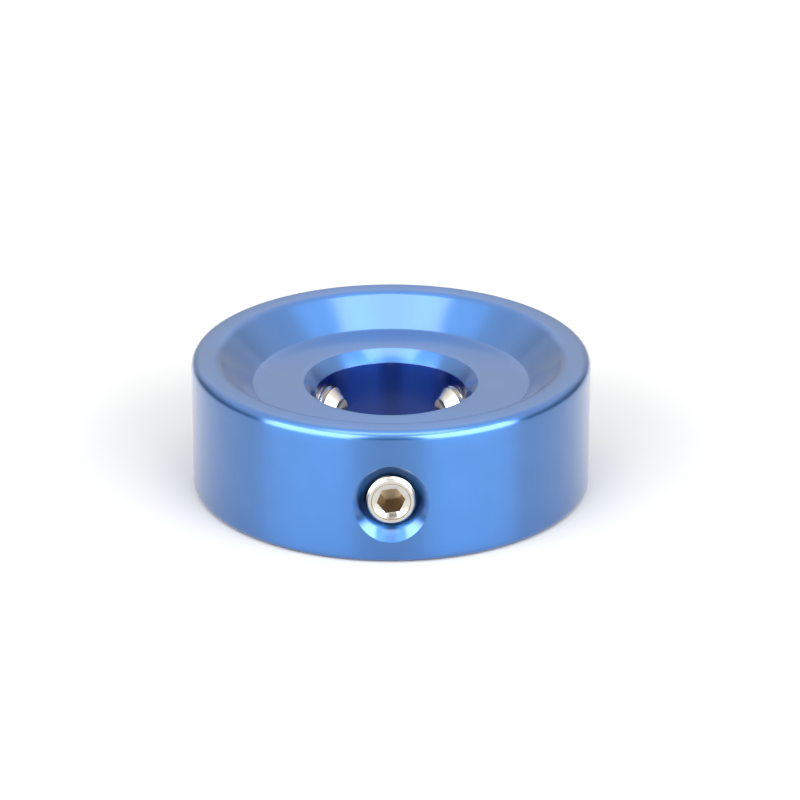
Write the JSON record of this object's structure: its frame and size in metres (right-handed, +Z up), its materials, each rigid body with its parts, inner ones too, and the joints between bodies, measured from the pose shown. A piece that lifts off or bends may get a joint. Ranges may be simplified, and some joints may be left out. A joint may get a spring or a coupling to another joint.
{
  "type": "footswitch topper",
  "caption": "Round dished metal button with a bevelled through bore, clamped on a foot-switch plunger by radial socket set screws.",
  "frame": {"origin": "middle of the underside, on the bore's axis", "axes": "+Z up along the bore, out of the dished top; -Y points at the front screw"},
  "size_m": [0.0254, 0.0254, 0.0087],
  "materials": {
    "anodised_aluminium": "blue anodised, satin turned",
    "screw_steel": "plain stainless steel"
  },
  "bodies": {
    "collar": {"collar": "anodised_aluminium"},
    "front_screw_point": {"front_screw_point": "screw_steel"},
    "front_screw_shank": {"front_screw_shank": "screw_steel"},
    "right_screw_point": {"right_screw_point": "screw_steel"},
    "right_screw_shank": {"right_screw_shank": "screw_steel"},
    "left_screw_point": {"left_screw_point": "screw_steel"},
    "left_screw_shank": {"left_screw_shank": "screw_steel"}
  },
  "joints": [
    {"name": "front_screw_travel", "type": "slide", "parent": "collar", "child": "front_screw_point", "axis": [0, 1, 0], "range_m": [-0.001, 0.003]},
    {"name": "front_screw_turn", "type": "hinge", "parent": "front_screw_point", "child": "front_screw_shank", "pos_m": [0, -0.00428, 0.00395], "axis": [0, 1, 0], "range_deg": [-720.01, 2160.01]},
    {"name": "right_screw_travel", "type": "slide", "parent": "collar", "child": "right_screw_point", "axis": [-0.866, -0.5, 0], "range_m": [-0.0015, 0.0025]},
    {"name": "right_screw_turn", "type": "hinge", "parent": "right_screw_point", "child": "right_screw_shank", "pos_m": [0.0032, 0.00185, 0.00395], "axis": [-0.866, -0.5, 0], "range_deg": [-1080.01, 1800.01]},
    {"name": "left_screw_travel", "type": "slide", "parent": "collar", "child": "left_screw_point", "axis": [0.866, -0.5, 0], "range_m": [-0.0015, 0.0025]},
    {"name": "left_screw_turn", "type": "hinge", "parent": "left_screw_point", "child": "left_screw_shank", "pos_m": [-0.0032, 0.00185, 0.00395], "axis": [0.866, -0.5, 0], "range_deg": [-1080.01, 1800.01]}
  ],
  "couplings": [
    {"joint": "front_screw_turn", "follows": "front_screw_travel", "rad_per_m": 12566},
    {"joint": "right_screw_turn", "follows": "right_screw_travel", "rad_per_m": 12566},
    {"joint": "left_screw_turn", "follows": "left_screw_travel", "rad_per_m": 12566}
  ]
}
